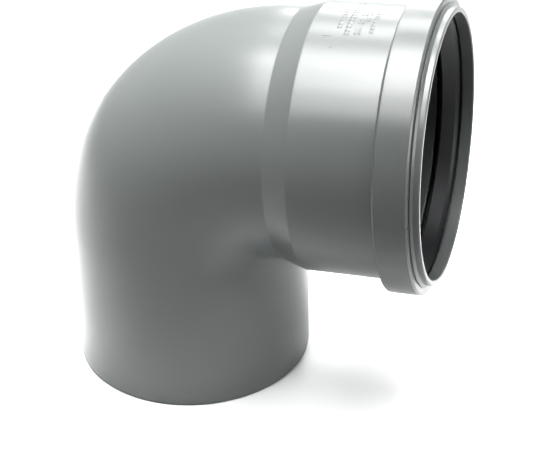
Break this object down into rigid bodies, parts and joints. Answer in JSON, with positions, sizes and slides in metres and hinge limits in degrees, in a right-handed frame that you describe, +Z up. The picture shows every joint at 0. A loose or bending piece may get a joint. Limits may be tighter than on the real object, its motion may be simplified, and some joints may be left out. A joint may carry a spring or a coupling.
{
  "type": "drainage pipe elbow",
  "caption": "Right-angle push-fit drainage elbow with a plain spigot and a ring-seal socket that grips a pipe with a rubber lip seal.",
  "frame": {"origin": "bottom centre of the elbow's bounding box, level with the spigot's end face", "axes": "+Z up along the spigot's axis, the socket opens towards +X and 2.5 degrees upwards, +Y across the elbow"},
  "size_m": [0.1764, 0.127, 0.184],
  "materials": {
    "grey_plastic": "satin moulded grey plastic, clean and new",
    "black_rubber": "matt black moulded rubber",
    "ring_plastic": "satin moulded grey plastic, as the body"
  },
  "bodies": {
    "root": {"elbow_body": "grey_plastic", "lip_seal": "black_rubber", "seal_retaining_ring": "ring_plastic"}
  },
  "joints": []
}
